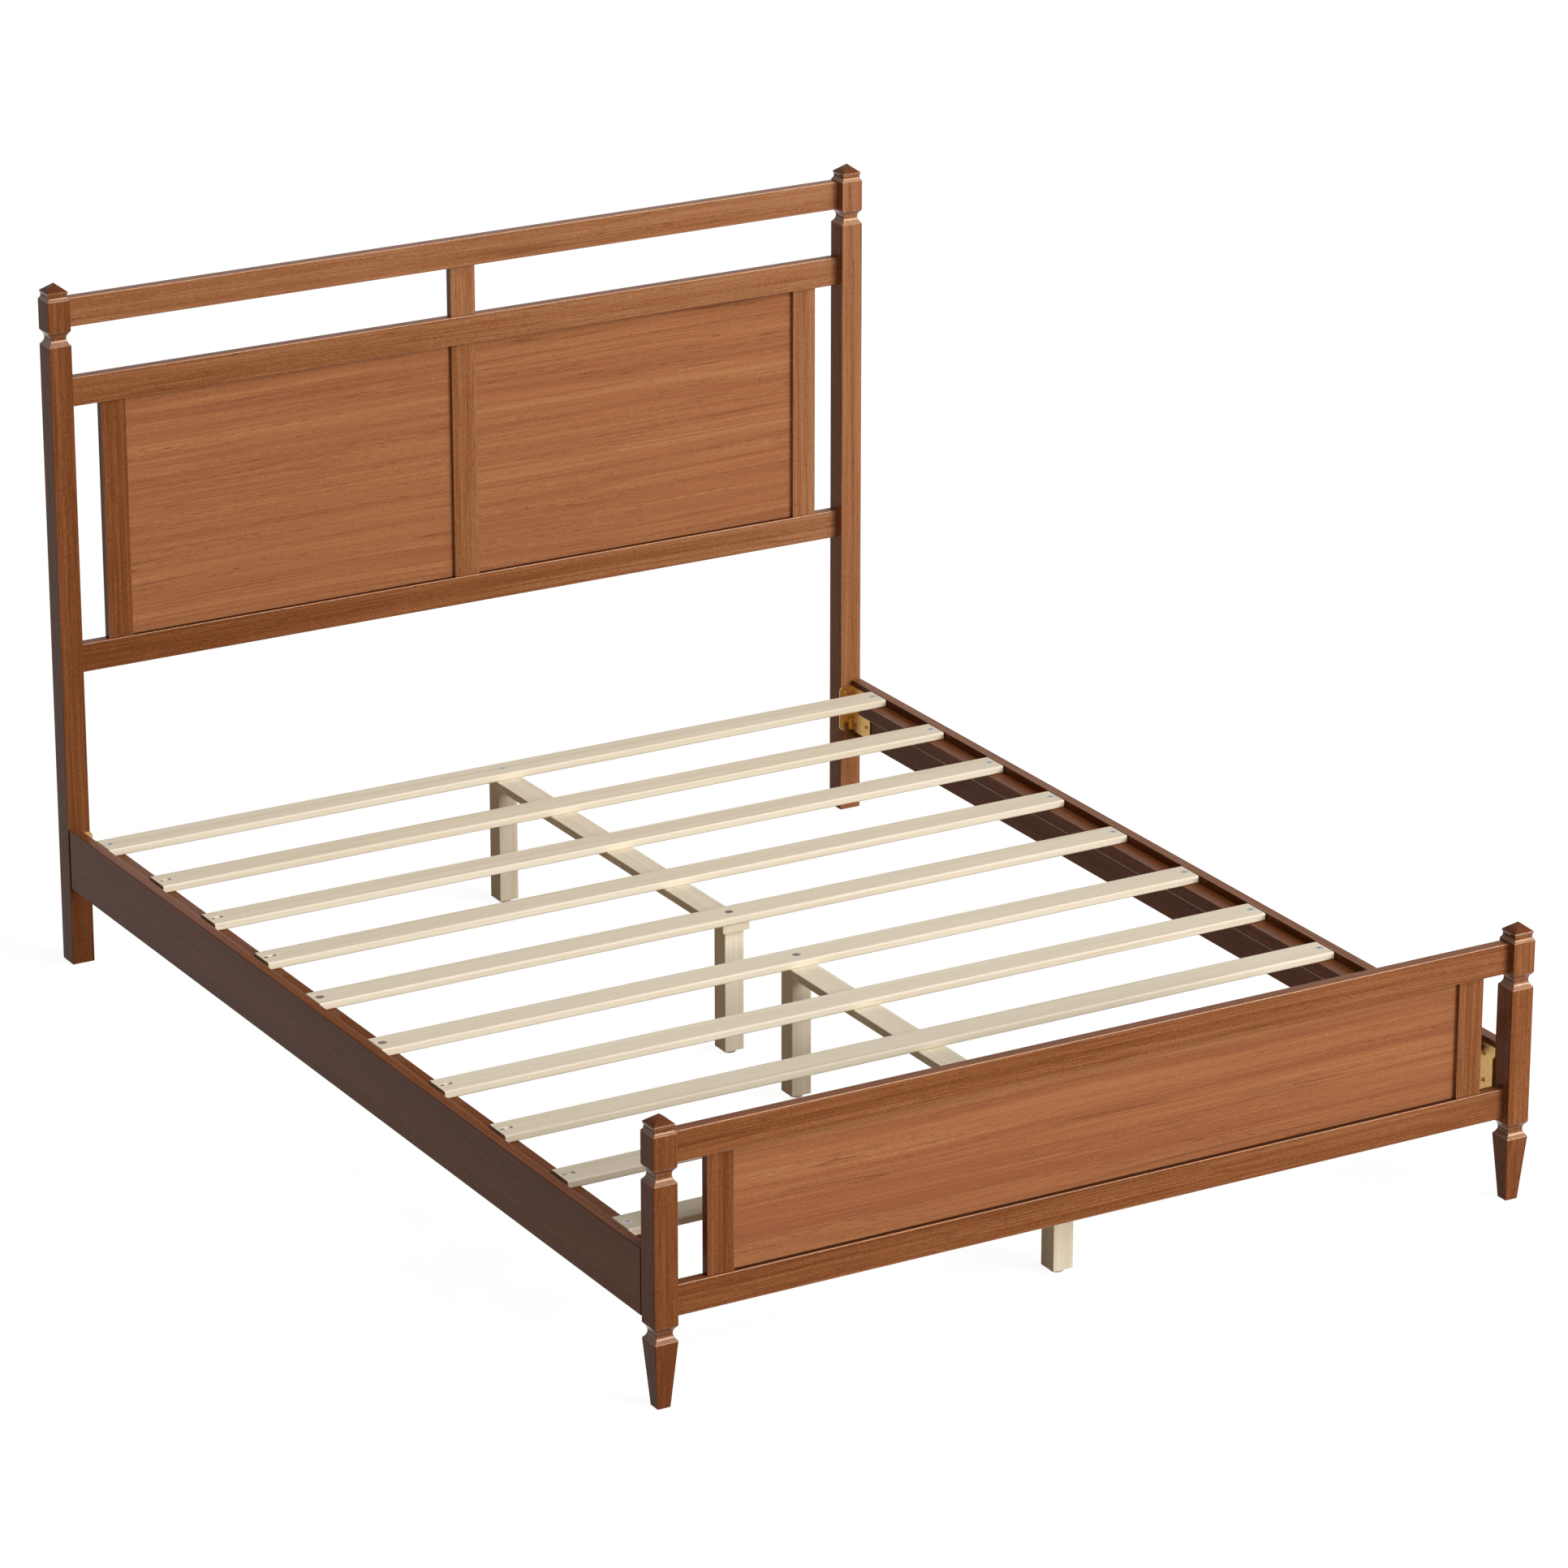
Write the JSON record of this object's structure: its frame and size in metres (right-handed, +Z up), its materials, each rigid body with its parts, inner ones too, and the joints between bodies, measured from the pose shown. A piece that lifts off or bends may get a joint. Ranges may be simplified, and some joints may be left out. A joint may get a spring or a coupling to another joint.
{
  "type": "platform bed",
  "caption": "Platform bed: square posts with pyramid caps, panelled headboard and low footboard, side rails on hook-on brackets, wooden slats over centre rails and levelled legs.",
  "frame": {"origin": "on the floor, under the middle of the bed's outline", "axes": "+Z up, +Y from foot to headboard, +X to the right seen from the foot"},
  "size_m": [1.591, 2.131, 1.224],
  "materials": {
    "walnut_stained_wood": "satin walnut stain",
    "pale_wood": "planed, pale, matt",
    "dowel_wood": "plain beech",
    "gold_plated_steel": "yellow-passivated plate, satin",
    "zinc_steel": "bright zinc",
    "foot_plastic": "matt"
  },
  "bodies": {
    "bed_frame": {"bracket_screws": "zinc_steel", "centre_leg_1": "pale_wood", "centre_leg_2": "pale_wood", "centre_leg_3": "pale_wood", "centre_leg_4": "pale_wood", "centre_rail_foot": "pale_wood", "centre_rail_head": "pale_wood", "centre_screws": "zinc_steel", "cleat_dowels": "dowel_wood", "cleat_left": "walnut_stained_wood", "cleat_right": "walnut_stained_wood", "footboard_bottom_rail": "walnut_stained_wood", "footboard_panel": "walnut_stained_wood", "footboard_post_left": "walnut_stained_wood", "footboard_post_right": "walnut_stained_wood", "footboard_stile_left": "walnut_stained_wood", "footboard_stile_right": "walnut_stained_wood", "footboard_top_rail": "walnut_stained_wood", "headboard_bottom_rail": "walnut_stained_wood", "headboard_middle_rail": "walnut_stained_wood", "headboard_mullion": "walnut_stained_wood", "headboard_panel_left": "walnut_stained_wood", "headboard_panel_right": "walnut_stained_wood", "headboard_post_left": "walnut_stained_wood", "headboard_post_right": "walnut_stained_wood", "headboard_short_stile": "walnut_stained_wood", "headboard_stile_left": "walnut_stained_wood", "headboard_stile_right": "walnut_stained_wood", "headboard_top_rail": "walnut_stained_wood", "hook_bracket_foot_left": "gold_plated_steel", "hook_bracket_foot_right": "gold_plated_steel", "hook_bracket_head_left": "gold_plated_steel", "hook_bracket_head_right": "gold_plated_steel", "hook_pins": "gold_plated_steel", "leg_foot_inserts": "zinc_steel", "leg_top_inserts": "zinc_steel", "side_rail_left": "walnut_stained_wood", "side_rail_right": "walnut_stained_wood", "slat_01": "pale_wood", "slat_02": "pale_wood", "slat_03": "pale_wood", "slat_04": "pale_wood", "slat_05": "pale_wood", "slat_06": "pale_wood", "slat_07": "pale_wood", "slat_08": "pale_wood", "slat_09": "pale_wood", "slat_10": "pale_wood", "slat_end_screws": "zinc_steel", "slat_slot_screws": "zinc_steel"},
    "levelling_foot_1": {"levelling_foot_1": "foot_plastic"},
    "levelling_foot_2": {"levelling_foot_2": "foot_plastic"},
    "levelling_foot_3": {"levelling_foot_3": "foot_plastic"},
    "levelling_foot_4": {"levelling_foot_4": "foot_plastic"}
  },
  "joints": [
    {"name": "levelling_foot_1_height", "type": "slide", "parent": "bed_frame", "child": "levelling_foot_1", "axis": [0, 0, -1], "range_m": [0, 0.012]},
    {"name": "levelling_foot_2_height", "type": "slide", "parent": "bed_frame", "child": "levelling_foot_2", "axis": [0, 0, -1], "range_m": [0, 0.012]},
    {"name": "levelling_foot_3_height", "type": "slide", "parent": "bed_frame", "child": "levelling_foot_3", "axis": [0, 0, -1], "range_m": [0, 0.012]},
    {"name": "levelling_foot_4_height", "type": "slide", "parent": "bed_frame", "child": "levelling_foot_4", "axis": [0, 0, -1], "range_m": [0, 0.012]}
  ]
}
